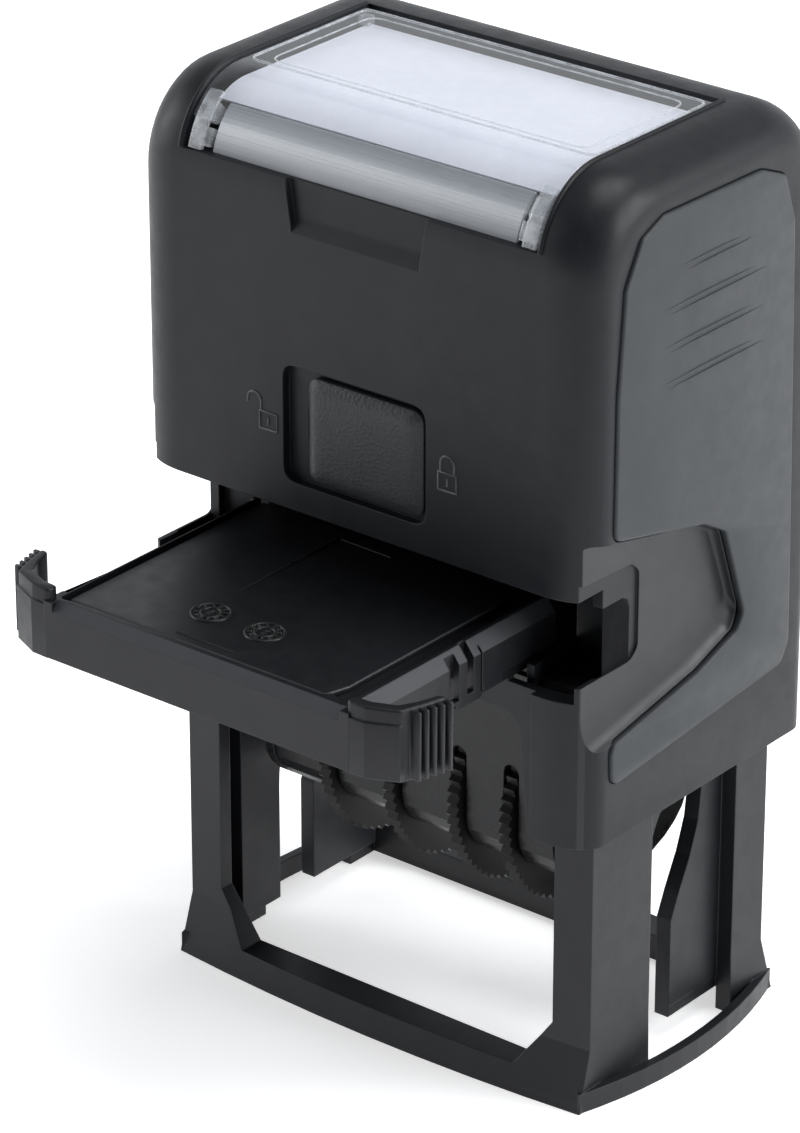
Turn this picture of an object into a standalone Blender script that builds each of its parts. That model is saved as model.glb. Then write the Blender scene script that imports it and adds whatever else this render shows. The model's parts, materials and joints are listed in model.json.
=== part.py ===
"""Self-inking rotary date stamp, modelled as the pieces it comes apart into.

Lengths are in millimetres and become metres where a shape is made. X is the stamp's width, -Y is its
front and +Z is up. The stamp stands at rest: the hood is up, the ink cartridge is drawn out and the
printing face looks up inside the hood. Every Y below is measured from the middle of the stamp's body.
The helpers move all shapes back by SHIFT_Y, which puts the origin on the ground in the middle of the
whole object, drawn cartridge included.
"""
import math

import bmesh
import bpy
from mathutils import Matrix, Vector

MM = 0.001

# Driving dimensions
HEIGHT = 112.0
STROKE = 17.3                  # travel of the hood when the stamp is pressed
PIVOT_Z = 35.05                # height of the axis that the dater turns over on
DIE_FACE = 16.75               # from that axis to the printing face
AXLE_DROP = 5.95               # from that axis down to the date wheels' axle
GAP = 0.3                      # running gap between neighbouring pieces
SHIFT_Y = 13.7                 # from the middle of the body back to the middle of the whole object

# Base
LEG_X = 29.6
OPENING_X = 24.6
LEG_Y = 16.5
FRONT_BOW = 1.6
FLARE_Z = 7.3
LEG_TOP = 33.5
RAIL_TOP = 3.3
FLANGE_Y = 15.1
CAM_IN = 25.6
CAM_OUT = 27.6
CAM_BOTTOM = 2.9
GUIDE_TOP = 60.0
SIDE_FRONT = -5.5              # the recess between the side's two legs
SIDE_BACK = 10.5
SPRING_X = 27.5
SPRING_Y = 12.6
SPRING_TOP = 103.0
CAM_RADIUS = 3.5               # from the turning axis to the cam pin
CAM_PIN_R = 1.2
CAM_SLOT_HALF = 1.6

# Hood
HOOD_X = 32.1
HOOD_Y = 21.7
HOOD_BOTTOM = 35.0
HOOD_ROUND = 10.0
BAND_X = 6.3                   # width of the rounded band between the front and a side
BAND_Y = 3.9
BAND_Z = 4.5
WALL = 2.0
DRAWER_HIGH = 65.0
WINDOW_X = 24.6
WINDOW_BACK = 10.8
WINDOW_LOW = 104.2
ARCH_X = 22.4                  # half the arch's width at its top; it widens a little downwards
ARCH_FOOT_X = 24.0
ARCH_TOP = 49.2
ARCH_ROUND = 2.6
SILL_X = 20.7                  # half the width of the sill under the cartridge
CORNER_BACK = -16.3            # how far the open front corners reach back
POCKET_IN = 28.8
POCKET_LOW = 51.0
POCKET_HIGH = 67.6

# Ink cartridge
TRAY_X = 21.6
TRAY_FRONT = -49.1
TRAY_BACK = -13.5
TRAY_LOW = 53.4
TRAY_HIGH = 60.3
WING_LOW = 53.1
WING_HIGH = 61.6
WING_X = 29.4
PAD_LOW = 55.6

# Dater
COVER_X = 20.4
COVER_Y = 11.8
COVER_TOP = 48.4
COVER_BEND_Z = 28.0
COVER_LOW = 20.6
WHEEL_R = 13.2
WHEEL_THICK = 1.5
WHEEL_TEETH = 60
WHEEL_X = (-12.0, -2.5, 6.9, 14.4)
HUB_SIDE = (1, 1, -1, -1)
HUB_R = 4.0
BAND_WIDTH = 3.4
BAND_THICK = 0.9
PLATEN_Z = 47.5
DIE_X = 20.3
DIE_Y = 11.3

AXLE_Z = PIVOT_Z - AXLE_DROP

PARTS = None
CUTTERS = None


# Helpers

def start_scene():
    """Empty the scene and add one collection for the parts and one for the cutters."""
    global PARTS, CUTTERS
    for obj in list(bpy.data.objects):
        bpy.data.objects.remove(obj, do_unlink=True)
    PARTS = bpy.data.collections.new("rotary_date_stamp")
    CUTTERS = bpy.data.collections.new("cutters")
    bpy.context.scene.collection.children.link(PARTS)
    bpy.context.scene.collection.children.link(CUTTERS)


def add_object(name, bm, smooth=False):
    """Turn a bmesh in millimetres into an object in the parts' collection."""
    bmesh.ops.translate(bm, vec=(0, SHIFT_Y, 0), verts=bm.verts)
    bmesh.ops.scale(bm, vec=(MM, MM, MM), verts=bm.verts)
    mesh = bpy.data.meshes.new(name)
    bm.to_mesh(mesh)
    bm.free()
    if smooth:
        mesh.shade_smooth()
        mesh.set_sharp_from_angle(angle=math.radians(35))
    obj = bpy.data.objects.new(name, mesh)
    PARTS.objects.link(obj)
    return obj


def box(name, low, high):
    """A block between two opposite corners."""
    bm = bmesh.new()
    bmesh.ops.create_cube(bm, size=1.0)
    size = [high[i] - low[i] for i in range(3)]
    centre = [(high[i] + low[i]) / 2 for i in range(3)]
    bmesh.ops.scale(bm, vec=size, verts=bm.verts)
    bmesh.ops.translate(bm, vec=centre, verts=bm.verts)
    return add_object(name, bm)


def side_box(name, side, x_in, x_out, y_range, z_range):
    """A block on one side of the stamp, between two distances from the middle plane."""
    x_range = sorted((side * x_in, side * x_out))
    low = (x_range[0], y_range[0], z_range[0])
    high = (x_range[1], y_range[1], z_range[1])
    return box(name, low, high)


def rod(name, x_low, x_high, y, z, radius, segments=24):
    """A round bar along X."""
    bm = bmesh.new()
    bmesh.ops.create_cone(
        bm, cap_ends=True, segments=segments, radius1=radius, radius2=radius, depth=x_high - x_low
    )
    bmesh.ops.rotate(bm, verts=bm.verts, matrix=Matrix.Rotation(math.radians(90), 3, "Y"))
    bmesh.ops.translate(bm, vec=((x_low + x_high) / 2, y, z), verts=bm.verts)
    return add_object(name, bm, smooth=True)


# The outline's own axes and its thickness run along these world axes.
PLATE_AXES = {
    "X": Matrix(((0, 0, 1), (1, 0, 0), (0, 1, 0))),
    "Y": Matrix(((1, 0, 0), (0, 0, -1), (0, 1, 0))),
    "Z": Matrix.Identity(3),
}


def plate(name, axis, outline, low, high, hole=None, smooth=False):
    """A flat outline, with or without a hole, as thick as from low to high along an axis."""
    curve = bpy.data.curves.new(name, "CURVE")
    curve.dimensions = "2D"
    curve.fill_mode = "BOTH"
    curve.extrude = (high - low) / 2 * MM
    for loop in (outline, hole):
        if loop:
            spline = curve.splines.new("POLY")
            spline.points.add(len(loop) - 1)
            for point, (u, v) in zip(spline.points, loop):
                point.co = (u * MM, v * MM, 0, 1)
            spline.use_cyclic_u = True
    guide = bpy.data.objects.new(name + "_outline", curve)
    CUTTERS.objects.link(guide)
    centre = Vector((0, SHIFT_Y * MM, 0))
    centre["XYZ".index(axis)] += (low + high) / 2 * MM
    guide.matrix_world = Matrix.Translation(centre) @ PLATE_AXES[axis].to_4x4()
    return mesh_of(guide, name, smooth)


def mesh_of(guide, name, smooth):
    """Replace a curve object by a welded mesh object in the same place."""
    bpy.context.view_layer.update()
    evaluated = guide.evaluated_get(bpy.context.evaluated_depsgraph_get())
    mesh = bpy.data.meshes.new_from_object(evaluated)
    mesh.name = name
    bm = bmesh.new()
    bm.from_mesh(mesh)
    bmesh.ops.remove_doubles(bm, verts=bm.verts, dist=0.00001)
    bmesh.ops.recalc_face_normals(bm, faces=bm.faces)
    bm.to_mesh(mesh)
    bm.free()
    if smooth:
        mesh.shade_smooth()
        mesh.set_sharp_from_angle(angle=math.radians(35))
    obj = bpy.data.objects.new(name, mesh)
    obj.matrix_world = guide.matrix_world.copy()
    PARTS.objects.link(obj)
    bpy.data.objects.remove(guide, do_unlink=True)
    return obj


def loft(name, sections, smooth=False):
    """A closed solid through sections that have the same number of points, in order."""
    bm = bmesh.new()
    rings = [[bm.verts.new(point) for point in section] for section in sections]
    count = len(rings[0])
    for lower, upper in zip(rings, rings[1:]):
        for i in range(count):
            j = (i + 1) % count
            bm.faces.new((lower[i], lower[j], upper[j], upper[i]))
    bm.faces.new(list(reversed(rings[0])))
    bm.faces.new(rings[-1])
    bmesh.ops.recalc_face_normals(bm, faces=bm.faces)
    return add_object(name, bm, smooth)


def boolean(target, tool, operation, solver="EXACT"):
    """Cut a tool out of a part, or join it on, and file the tool with the cutters."""
    modifier = target.modifiers.new(operation.lower() + "_" + tool.name, "BOOLEAN")
    modifier.operation = operation
    modifier.solver = solver
    modifier.object = tool
    PARTS.objects.unlink(tool)
    CUTTERS.objects.link(tool)
    tool.hide_render = True
    tool.display_type = "WIRE"


def cut(target, *tools):
    for tool in tools:
        boolean(target, tool, "DIFFERENCE")


def join(target, *tools):
    for tool in tools:
        boolean(target, tool, "UNION")


def arc(centre, radius, start, end, steps, squash=1.0):
    """Points on an arc, by angle in degrees, with its second axis squashed."""
    points = []
    for i in range(steps + 1):
        angle = math.radians(start + (end - start) * i / steps)
        u = centre[0] + radius * math.cos(angle)
        v = centre[1] + radius * squash * math.sin(angle)
        points.append((u, v))
    return points


def paint(obj, color, roughness, metallic=0.0):
    """Give a part a plain material of its own."""
    material = bpy.data.materials.new(obj.name)
    material.use_nodes = True
    shader = material.node_tree.nodes["Principled BSDF"]
    shader.inputs["Base Color"].default_value = (*color, 1.0)
    shader.inputs["Roughness"].default_value = roughness
    shader.inputs["Metallic"].default_value = metallic
    obj.data.materials.clear()
    obj.data.materials.append(material)
    return obj


def hang(name, location, parts):
    """Parent moving parts to an empty that sits on their joint's axis."""
    pivot = bpy.data.objects.new(name, None)
    pivot.location = (Vector(location) + Vector((0, SHIFT_Y, 0))) * MM
    PARTS.objects.link(pivot)
    bpy.context.view_layer.update()
    for part in parts:
        part.parent = pivot
        part.matrix_parent_inverse = pivot.matrix_world.inverted()
    return pivot


CHARCOAL = (0.055, 0.058, 0.062)
NEAR_BLACK = (0.018, 0.018, 0.02)


# Base

def bowed_rectangle(half_x, half_y, bow, z, steps=8):
    """A rectangle in plan whose front and back edges bulge out."""
    points = []
    for side in (-1, 1):
        for i in range(steps + 1):
            t = -1 + 2 * i / steps
            x = -side * half_x * t
            points.append((x, side * (half_y + bow * (1 - t * t)), z))
    return points


def foot_rim_outline(side):
    """The thin rim that bows out from a side of the foot, in plan."""
    outer = []
    inner = []
    for i in range(13):
        t = -1 + 2 * i / 12
        swell = 1 - t * t
        outer.append((side * (29.6 + 3.1 * swell), 18.6 * t))
        inner.append((side * (28.9 + 2.6 * swell), 17.8 * t))
    return outer + inner[::-1]


def cam_path():
    """Where the cam pin's centre goes as the hood comes down, in Y and Z."""
    steps = 16
    points = [(CAM_RADIUS, PIVOT_Z + 2.5)]
    for i in range(steps + 1):
        turn = math.pi * i / steps
        y = CAM_RADIUS * math.cos(turn)
        z = PIVOT_Z - STROKE * i / steps + CAM_RADIUS * math.sin(turn)
        points.append((y, z))
    points.append((-CAM_RADIUS, -1.0))
    return points


def cam_slot_outline():
    """The cam slot from the side: its front edge guides the pin, and behind it the plate ends in an S."""
    path = cam_path()
    front = []
    for i, point in enumerate(path):
        along = Vector(path[min(i + 1, len(path) - 1)]) - Vector(path[max(i - 1, 0)])
        across = Vector((-along.y, along.x)).normalized() * CAM_SLOT_HALF
        front.append(tuple(Vector(point) - across))
    low, high = front[-1][1], front[0][1]
    back = [(1.2, low), (1.2, 15.6), (2.6, 18.8), (4.6, 22.7), (6.0, 26.6), (6.5, 30.5), (6.5, high)]
    return front + back


def front_opening(name, face):
    """The large window in the front or the back of the base, with chamfered lower corners."""
    x = OPENING_X
    outline = [(-x, 45), (-x, 9.5), (-20.2, RAIL_TOP), (20.2, RAIL_TOP), (x, 9.5), (x, 45)]
    y_range = sorted((face * (FLANGE_Y - 1), face * 26))
    return plate(name, "Y", outline, y_range[0], y_range[1])


def base_frame():
    """The foot and its four legs, with a cam plate hanging inside each side."""
    sections = [
        bowed_rectangle(LEG_X + 0.2, LEG_Y + 2.1, FRONT_BOW, 0),
        bowed_rectangle(LEG_X + 0.15, LEG_Y + 1.8, FRONT_BOW, 1.2),
        bowed_rectangle(LEG_X, LEG_Y, FRONT_BOW, FLARE_Z),
        bowed_rectangle(LEG_X, LEG_Y, FRONT_BOW, LEG_TOP),
    ]
    base = loft("base_frame", sections)
    cut(base, box("base_inside", (-CAM_IN, -FLANGE_Y, -2), (CAM_IN, FLANGE_Y, 45)))
    cut(base, front_opening("base_front_window", -1), front_opening("base_back_window", 1))
    for side, word in ((-1, "left"), (1, "right")):
        join(base, plate("foot_rim_" + word, "Z", foot_rim_outline(side), 0, 2.5))
        join(base, side_box("guide_" + word, side, CAM_IN, LEG_X, (-9.0, LEG_Y), (LEG_TOP - 3, GUIDE_TOP)))
    for side, word in ((-1, "left"), (1, "right")):
        channel = (CAM_IN - 1, CAM_OUT)
        window_y = (SIDE_FRONT, SIDE_BACK)
        cut(
            base,
            side_box("front_channel_" + word, side, *channel, (-FLANGE_Y, -12.0), (-2, 45)),
            side_box("back_channel_" + word, side, *channel, (12.9, FLANGE_Y), (-2, LEG_TOP + 0.2)),
            side_box("side_window_" + word, side, CAM_OUT, 31, window_y, (RAIL_TOP, 40)),
            side_box("side_gap_" + word, side, CAM_OUT - 0.1, LEG_X + 0.4, window_y, (-2, RAIL_TOP + 1)),
            side_box("cam_end_" + word, side, *channel, (-12.5, 12.9), (-2, CAM_BOTTOM)),
        )
    for side, word in ((-1, "left"), (1, "right")):
        low, high = sorted((side * (CAM_IN - 0.6), side * (CAM_OUT + 0.3)))
        slot = plate("cam_slot_" + word, "X", cam_slot_outline(), low, high)
        boolean(base, slot, "DIFFERENCE", "MANIFOLD")
    return paint(base, CHARCOAL, 0.45)


def return_spring(name, side):
    """A coil spring between the base's guide and the hood's ceiling."""
    turns = 9
    per_turn = 10
    low = GUIDE_TOP + GAP + 0.4
    high = SPRING_TOP
    coil_r = 1.6
    wire_r = 0.28
    curve = bpy.data.curves.new(name, "CURVE")
    curve.dimensions = "3D"
    curve.bevel_depth = wire_r * MM
    curve.bevel_resolution = 1
    curve.use_fill_caps = True
    spline = curve.splines.new("POLY")
    count = turns * per_turn
    spline.points.add(count)
    for i, point in enumerate(spline.points):
        angle = 2 * math.pi * i / per_turn
        x = side * SPRING_X + coil_r * math.cos(angle)
        y = SHIFT_Y + SPRING_Y + coil_r * math.sin(angle)
        point.co = (x * MM, y * MM, (low + (high - low) * i / count) * MM, 1)
    guide = bpy.data.objects.new(name + "_guide", curve)
    CUTTERS.objects.link(guide)
    spring = mesh_of(guide, name, True)
    return paint(spring, (0.6, 0.6, 0.62), 0.3, 1.0)


# Hood

def hood_section(x, half_y, top, radius, bottom, steps=6):
    """The hood's outline at one distance from the middle: straight sides and two rounded top corners."""
    flat_y = half_y - radius
    points = [(-half_y, bottom)]
    points += arc((-flat_y, top - radius), radius, 180, 90, steps)
    points += arc((flat_y, top - radius), radius, 90, 0, steps)
    points.append((half_y, bottom))
    return [(x, y, z) for y, z in points]


def hood_block(name, half_x, half_y, top, radius, band, bottom):
    """A block with a rounded top whose front, back and top roll over to its sides."""
    steps = 5
    stations = []
    for i in range(steps + 1):
        angle = math.radians(90 * i / steps)
        x = half_x - band[0] + band[0] * math.sin(angle)
        drop = 1 - math.cos(angle)
        stations.append((x, half_y - band[1] * drop, top - band[2] * drop, radius - drop))
    sections = [hood_section(-x, y, z, r, bottom) for x, y, z, r in reversed(stations)]
    sections += [hood_section(x, y, z, r, bottom) for x, y, z, r in stations]
    return loft(name, sections, smooth=True)


def finger_opening_outline():
    """The C-shaped opening round a cartridge grip, seen from the side."""
    points = [(-30, 54.7), (-12.0, 54.7), (-10.7, 55.3), (-10.2, 56.7), (-10.2, 64.6)]
    points += [(-10.9, 66.0), (-12.4, 66.5), (-30, 67.4)]
    return points


def pocket_flange_outline():
    """The lip that stands inside a finger opening, seen from the side."""
    return [
        (-18.6, POCKET_HIGH), (-9.4, POCKET_HIGH), (-9.4, POCKET_LOW), (-17.6, POCKET_LOW),
        (-17.6, WING_LOW - GAP), (-12.4, WING_LOW - GAP), (-11.5, 53.7), (-11.5, 61.8),
        (-12.4, 62.7), (-18.6, 62.7),
    ]


def arch_outline():
    """The opening under the cartridge that the date wheels look out of."""
    flat_x = ARCH_X - ARCH_ROUND
    points = [(-ARCH_FOOT_X, 30)]
    points += arc((-flat_x, ARCH_TOP - ARCH_ROUND), ARCH_ROUND, 180, 90, 4)
    points += arc((flat_x, ARCH_TOP - ARCH_ROUND), ARCH_ROUND, 90, 0, 4)
    points.append((ARCH_FOOT_X, 30))
    return points


def hood_shell():
    """The outer cap that the hand presses."""
    hood = hood_block("hood_shell", HOOD_X, HOOD_Y, HEIGHT, HOOD_ROUND, (BAND_X, BAND_Y, BAND_Z), HOOD_BOTTOM)
    inside = hood_block(
        "hood_inside", HOOD_X - WALL, HOOD_Y - WALL, HEIGHT - WALL, HOOD_ROUND - WALL, (5.6, 2.8, 4.1), 30
    )
    cut(hood, inside)
    for side, word in ((-1, "left"), (1, "right")):
        low, high = sorted((side * POCKET_IN, side * (HOOD_X - WALL + 0.2)))
        back_z = (POCKET_LOW, POCKET_HIGH)
        floor_z = (POCKET_LOW, WING_LOW - GAP)
        join(
            hood,
            plate("pocket_lip_" + word, "X", pocket_flange_outline(), low, high),
            side_box("pocket_back_" + word, side, 22.2, POCKET_IN + 0.4, (-10.4, -9.4), back_z),
            side_box("pocket_floor_" + word, side, 22.6, POCKET_IN + 0.4, (-18.0, -9.4), floor_z),
        )
        low, high = sorted((side * (HOOD_X - WALL), side * (HOOD_X + 2)))
        way_z = (WING_LOW - GAP, DRAWER_HIGH - 1)
        cut(
            hood,
            plate("finger_opening_" + word, "X", finger_opening_outline(), low, high),
            side_box("grip_way_" + word, side, SILL_X, WING_X + 0.4, (-25, -17), way_z),
        )
    cut(
        hood,
        box("drawer_opening", (-SILL_X - 1, -25, TRAY_LOW - GAP), (SILL_X + 1, -17.0, DRAWER_HIGH)),
        box("corner_opening", (-40, -25, 54.7), (40, CORNER_BACK, DRAWER_HIGH)),
        box("front_recess", (-WINDOW_X, -25, 30), (WINDOW_X, -20.7, DRAWER_HIGH - 5)),
        plate("front_arch", "Y", arch_outline(), -26, -17),
        plate("back_arch", "Y", arch_outline(), 17, 26),
        box("window_opening", (-WINDOW_X, -25, WINDOW_LOW), (WINDOW_X, WINDOW_BACK, 120)),
        box("lock_recess", (-10.3, -25, 68.4), (9.9, -20.6, 82.5)),
        box("lock_slot", (-7.5, -25, 73.6), (4.5, -15, 77.4)),
    )
    notch = [(-10.4, 106), (-8.7, 99.0), (8.7, 99.0), (10.4, 106)]
    cut(hood, plate("finger_notch", "Y", notch, -25, -20.5))
    return paint(hood, CHARCOAL, 0.42)


def yoke_bracket():
    """A bridge inside the hood whose two arms carry the dater's pivots."""
    yoke = box("yoke_bracket", (-24.1, -5.0, 30.5), (24.1, 5.0, 63.4))
    cut(yoke, box("yoke_gap", (-22.5, -7.0, 28.0), (22.5, 7.0, 61.9)))
    cut(yoke, rod("yoke_bore", -26, 26, 0, PIVOT_Z, 2.2))
    return paint(yoke, NEAR_BLACK, 0.5)


def corner_shell(radius):
    """Where the window's bent front runs: an arc about the hood's rounded top edge."""
    centre = (-(HOOD_Y - HOOD_ROUND), HEIGHT - HOOD_ROUND)
    low = math.degrees(math.asin((WINDOW_LOW + GAP + 0.1 - centre[1]) / radius))
    return arc(centre, radius, 180 - low, 90, 8)


def bent_plate(name, half_x, outer, inner, back):
    """A plate that follows the hood's top and its rounded front edge."""
    outline = corner_shell(outer)
    top = HEIGHT - HOOD_ROUND
    outline += [(back, top + outer), (back, top + inner)]
    outline += corner_shell(inner)[::-1]
    return plate(name, "X", outline, -half_x, half_x, smooth=True)


def card_bed():
    """The bent plate that closes the hood's top under the card."""
    bed = bent_plate("card_bed", WINDOW_X - GAP, 7.3, 6.0, WINDOW_BACK - GAP)
    return paint(bed, NEAR_BLACK, 0.5)


def imprint_card():
    """The paper card that shows the imprint."""
    card = box("imprint_card", (-22.9, -11.0, 109.6), (22.9, 10.0, 109.9))
    return paint(card, (0.82, 0.82, 0.88), 0.8)


def window_front_strip():
    """The frosted curved strip in front of the card."""
    centre = (-(HOOD_Y - HOOD_ROUND), HEIGHT - HOOD_ROUND)
    outline = arc(centre, 8.5, 163, 94, 8) + arc(centre, 7.6, 94, 163, 8)
    strip = plate("window_front_strip", "X", outline, -21.0, 21.0, smooth=True)
    return paint(strip, (0.72, 0.73, 0.75), 0.35)


def window_cover():
    """The clear cover over the card, with a lug at each front end and a hinge peg at each back end."""
    cover = bent_plate("window_cover", WINDOW_X - GAP, HOOD_ROUND, 9.1, WINDOW_BACK - 0.7)
    centre = (-(HOOD_Y - HOOD_ROUND), HEIGHT - HOOD_ROUND)
    lug = arc(centre, 9.4, 163, 126, 5) + arc(centre, 7.7, 126, 163, 5)
    for side, word in ((-1, "left"), (1, "right")):
        x_range = sorted((side * 21.4, side * 24.0))
        join(
            cover,
            plate("cover_lug_" + word, "X", lug, x_range[0], x_range[1]),
            side_box("cover_peg_" + word, side, 23.0, 24.3, (8.6, 9.9), (110.2, 111.5)),
        )
    return paint(cover, (0.85, 0.87, 0.9), 0.08)


def lock_button():
    """The slider in the front of the hood, with its stem through the slot."""
    button = box("lock_button", (-6.7, -22.2, 69.2), (9.4, -20.9, 81.7))
    join(button, box("lock_stem", (-3.7, -21.2, 74.2), (3.9, -18.7, 76.8)))
    return paint(button, (0.05, 0.052, 0.056), 0.55)


def lock_latch():
    """The bar behind the slider that blocks the hood."""
    latch = box("lock_latch", (-8.5, -18.4, 70.5), (8.5, -17.2, 80.5))
    return paint(latch, NEAR_BLACK, 0.5)


# Ink cartridge

def wing_outline(side):
    """A hooked finger grip at a front corner of the cartridge, in plan."""
    points = [(21.0, -48.8), (22.9, -48.7), (27.6, -46.3), (WING_X, -41.5), (27.9, -41.5), (26.3, -45.1)]
    points += [(21.0, -47.1)]
    return [(side * x, y) for x, y in points]


def cartridge_tray():
    """The drawer that holds the ink pad, open underneath."""
    tray = box("cartridge_tray", (-TRAY_X, TRAY_FRONT, TRAY_LOW), (TRAY_X, TRAY_BACK, TRAY_HIGH))
    for side, word in ((-1, "left"), (1, "right")):
        join(tray, plate("grip_" + word, "Z", wing_outline(side), WING_LOW, WING_HIGH))
        for i in range(5):
            y = -45.5 + i * 0.9
            x = 27.9 + 0.35 * (y + 45.5)
            name = "grip_rib_%s_%d" % (word, i)
            join(tray, side_box(name, side, 27.0, x + 0.35, (y, y + 0.4), (WING_LOW + 0.5, WING_HIGH - 0.5)))
    cut(
        tray,
        box("tray_inside", (-20.7, TRAY_FRONT + 0.9, 50), (20.7, TRAY_BACK - 0.9, 59.1)),
        box("tray_back_edge", (-20.7, TRAY_BACK - 2, 50), (20.7, TRAY_BACK + 1, 55.5)),
        box("tray_top", (-20.0, TRAY_FRONT + 1.6, 59.7), (20.0, TRAY_BACK + 1, 62)),
    )
    return paint(tray, (0.04, 0.042, 0.045), 0.45)


def ink_pad():
    """The felt pad that inks the printing face."""
    pad = box("ink_pad", (-20.3, TRAY_FRONT + 1.3, PAD_LOW), (20.3, TRAY_BACK - 1.3, 58.8))
    return paint(pad, (0.01, 0.012, 0.03), 0.9)


# Dater

def cover_profile(inset):
    """The dater cover's outline from the side, open at the top: flat faces and a round belly."""
    y = COVER_Y - inset
    belly = COVER_BEND_Z - COVER_LOW - inset
    return arc((0, COVER_BEND_Z), y, 180, 360, 14, belly / y)


def dater_cover():
    """The curved cover with a slot for each date wheel."""
    outer = cover_profile(0) + [(COVER_Y, COVER_TOP), (-COVER_Y, COVER_TOP)]
    inner = cover_profile(1.3) + [(COVER_Y - 1.3, COVER_TOP + 2), (1.3 - COVER_Y, COVER_TOP + 2)]
    cover = plate("dater_cover", "X", outer, -COVER_X, COVER_X, smooth=True)
    cut(cover, plate("cover_inside", "X", inner, -COVER_X - 1, COVER_X + 1))
    for i, x in enumerate(WHEEL_X):
        half = WHEEL_THICK / 2 + 0.35
        outline = [(x + half, 10), (x - half, 10)]
        outline = outline[::-1] + arc((x, 35.6), half, 0, 180, 6)
        cut(cover, plate("wheel_slot_%d" % (i + 1), "Y", outline, -20, 20))
    return paint(cover, (0.06, 0.06, 0.065), 0.35)


def cradle_end(name, side):
    """An end plate of the dater."""
    outline = cover_profile(0) + [(COVER_Y, COVER_TOP), (-COVER_Y, COVER_TOP)]
    x_range = sorted((side * (COVER_X + GAP), side * (COVER_X + 1.6)))
    return paint(plate(name, "X", outline, x_range[0], x_range[1], smooth=True), NEAR_BLACK, 0.45)


def pivot_crank(name, side):
    """A pivot pin through the yoke, with a crank that carries the cam pin."""
    pin_range = sorted((side * 22.3, side * 24.9))
    arm_range = sorted((side * 24.4, side * 25.3))
    cam_range = sorted((side * 24.9, side * 27.3))
    crank = rod(name, pin_range[0], pin_range[1], 0, PIVOT_Z, 2.0)
    join(
        crank,
        rod(name + "_disc", arm_range[0], arm_range[1], 1.2, PIVOT_Z, 3.8),
        rod(name + "_cam", cam_range[0], cam_range[1], CAM_RADIUS, PIVOT_Z, CAM_PIN_R, 16),
    )
    return paint(crank, NEAR_BLACK, 0.35)


def wheel_axle():
    """The steel rod that the date wheels turn on."""
    axle = rod("wheel_axle", -COVER_X, COVER_X, 0, AXLE_Z, 1.2, 16)
    return paint(axle, (0.6, 0.6, 0.62), 0.25, 1.0)


def date_wheel(number, x, hub_side):
    """A toothed thumb wheel with the hub that drives its band."""
    points = []
    for i in range(WHEEL_TEETH * 2):
        angle = math.pi * i / WHEEL_TEETH
        radius = WHEEL_R if i % 2 else WHEEL_R - 0.55
        points.append((radius * math.sin(angle), AXLE_Z + radius * math.cos(angle)))
    half = WHEEL_THICK / 2
    wheel = plate("date_wheel_%d" % number, "X", points, x - half, x + half)
    ends = sorted((x, x + hub_side * (half + GAP + BAND_WIDTH)))
    join(wheel, rod("wheel_hub_%d" % number, ends[0], ends[1], 0, AXLE_Z, HUB_R))
    cut(wheel, rod("wheel_bore_%d" % number, x - 8, x + 8, 0, AXLE_Z, 1.5, 16))
    return paint(wheel, NEAR_BLACK, 0.4)


def loop_outline(low_r, high_r, steps=8):
    """The outline round the wheel hub below and the platen above, in Y and Z."""
    return arc((0, AXLE_Z), low_r, 180, 360, steps) + arc((0, PLATEN_Z), high_r, 0, 180, steps)


def date_band(number, x, hub_side):
    """A rubber band with the date's figures, round the hub and over the platen."""
    centre = x + hub_side * (WHEEL_THICK / 2 + GAP + BAND_WIDTH / 2)
    low = centre - BAND_WIDTH / 2 + 0.1
    inner_low = HUB_R + GAP
    inner_high = 3.3
    outer = loop_outline(inner_low + BAND_THICK, inner_high + BAND_THICK)
    inner = loop_outline(inner_low, inner_high)
    name = "date_band_%d" % number
    band = plate(name, "X", outer, low, low + BAND_WIDTH - 0.2, hole=inner, smooth=True)
    return paint(band, (0.03, 0.03, 0.035), 0.8)


def band_platen():
    """The round bar that backs the bands at the printing face."""
    return paint(rod("band_platen", -11.3, 13.7, 0, PLATEN_Z, 3.0), NEAR_BLACK, 0.4)


def framed_plate(name, half_x, half_y, low, high):
    """A flat plate with a window in the middle for the date bands."""
    outline = [(-half_x, -half_y), (half_x, -half_y), (half_x, half_y), (-half_x, half_y)]
    window = [(-11.6, -4.6), (14.0, -4.6), (14.0, 4.6), (-11.6, 4.6)]
    return plate(name, "Z", outline, low, high, hole=window)


def die_plate():
    """The plate that the text die is glued on."""
    low = COVER_TOP + GAP
    return paint(framed_plate("die_plate", DIE_X + 0.1, DIE_Y + 0.1, low, low + 1.5), NEAR_BLACK, 0.4)


def text_die():
    """The rubber printing sheet round the date."""
    low = COVER_TOP + 2 * GAP + 1.5
    die = framed_plate("text_die", DIE_X, DIE_Y, low, PIVOT_Z + DIE_FACE)
    return paint(die, (0.12, 0.03, 0.03), 0.8)


def ride(child, parent):
    """Let one joint's empty follow another's."""
    bpy.context.view_layer.update()
    child.parent = parent
    child.matrix_parent_inverse = parent.matrix_world.inverted()


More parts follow.
